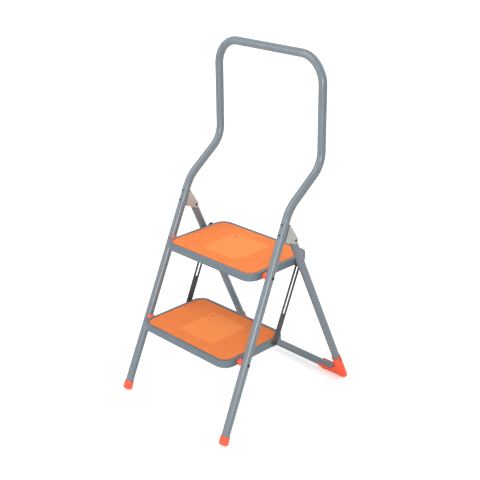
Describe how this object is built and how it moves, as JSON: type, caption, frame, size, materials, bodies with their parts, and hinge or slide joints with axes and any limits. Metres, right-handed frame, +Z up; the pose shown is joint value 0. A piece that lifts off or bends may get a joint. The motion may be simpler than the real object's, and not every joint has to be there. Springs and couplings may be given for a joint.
{
  "type": "folding step stool",
  "caption": "Folding step stool with a tall bent handrail, level trays with ribbed mats, a hinged rear frame on brackets and slotted side links that fold the trays.",
  "frame": {"origin": "on the floor under the middle of the stool's outline box", "axes": "+X to the climber's right, +Y from the front legs to the rear legs, +Z up"},
  "size_m": [0.4692, 0.5698, 1.0692],
  "materials": {
    "frame_tube": "satin powder coat",
    "tray_sheet": "satin powder coat",
    "mat": "matte moulded",
    "foot": "moulded",
    "spacer": "moulded",
    "bracket": "plated sheet",
    "link": "dark coated",
    "fastener": "blackened"
  },
  "bodies": {
    "front_frame": {"front_frame_tube": "frame_tube", "front_foot_left": "foot", "front_foot_right": "foot", "hinge_bracket_left": "bracket", "hinge_bracket_right": "bracket", "bracket_rivets": "fastener", "hinge_pin_left": "fastener", "hinge_pin_right": "fastener", "step_spacer_upper_left": "spacer", "step_spacer_upper_right": "spacer", "step_spacer_lower_left": "spacer", "step_spacer_lower_right": "spacer", "upper_step_bolts": "fastener", "lower_step_bolts": "fastener", "upper_step_nuts": "fastener", "lower_step_nuts": "fastener"},
    "rear_frame": {"rear_leg_left": "frame_tube", "rear_leg_right": "frame_tube", "cross_tube": "frame_tube", "rear_foot_left": "foot", "rear_foot_right": "foot", "rear_foot_screws": "fastener", "support_rod": "link"},
    "upper_step": {"upper_tray": "tray_sheet", "upper_mat": "mat", "upper_link_rivets": "fastener", "upper_link_washers": "link"},
    "lower_step": {"lower_tray": "tray_sheet", "lower_mat": "mat", "lower_link_rivets": "fastener", "lower_link_washers": "link"},
    "link_left": {"link_left": "link"},
    "link_right": {"link_right": "link"}
  },
  "joints": [
    {"name": "rear_frame_hinge", "type": "hinge", "parent": "front_frame", "child": "rear_frame", "pos_m": [0, 0.02257, 0.55206], "axis": [-1, 0, 0], "range_deg": [0, 46]},
    {"name": "upper_step_hinge", "type": "hinge", "parent": "front_frame", "child": "upper_step", "pos_m": [0, -0.07044, 0.463], "axis": [1, 0, 0], "range_deg": [0, 44.16]},
    {"name": "lower_step_hinge", "type": "hinge", "parent": "front_frame", "child": "lower_step", "pos_m": [0, -0.17512, 0.226], "axis": [1, 0, 0], "range_deg": [0, 44.16]},
    {"name": "link_left_pivot", "type": "hinge", "parent": "lower_step", "child": "link_left", "pos_m": [-0.1917, -0.02812, 0.2302], "axis": [-1, 0, 0], "range_deg": [0, 44.16]},
    {"name": "link_right_pivot", "type": "hinge", "parent": "lower_step", "child": "link_right", "pos_m": [0.1917, -0.02812, 0.2302], "axis": [-1, 0, 0], "range_deg": [0, 44.16]}
  ],
  "couplings": [
    {"joint": "upper_step_hinge", "follows": "rear_frame_hinge", "ratio": 0.96},
    {"joint": "lower_step_hinge", "follows": "rear_frame_hinge", "ratio": 0.96},
    {"joint": "link_left_pivot", "follows": "rear_frame_hinge", "ratio": 0.96},
    {"joint": "link_right_pivot", "follows": "rear_frame_hinge", "ratio": 0.96}
  ]
}
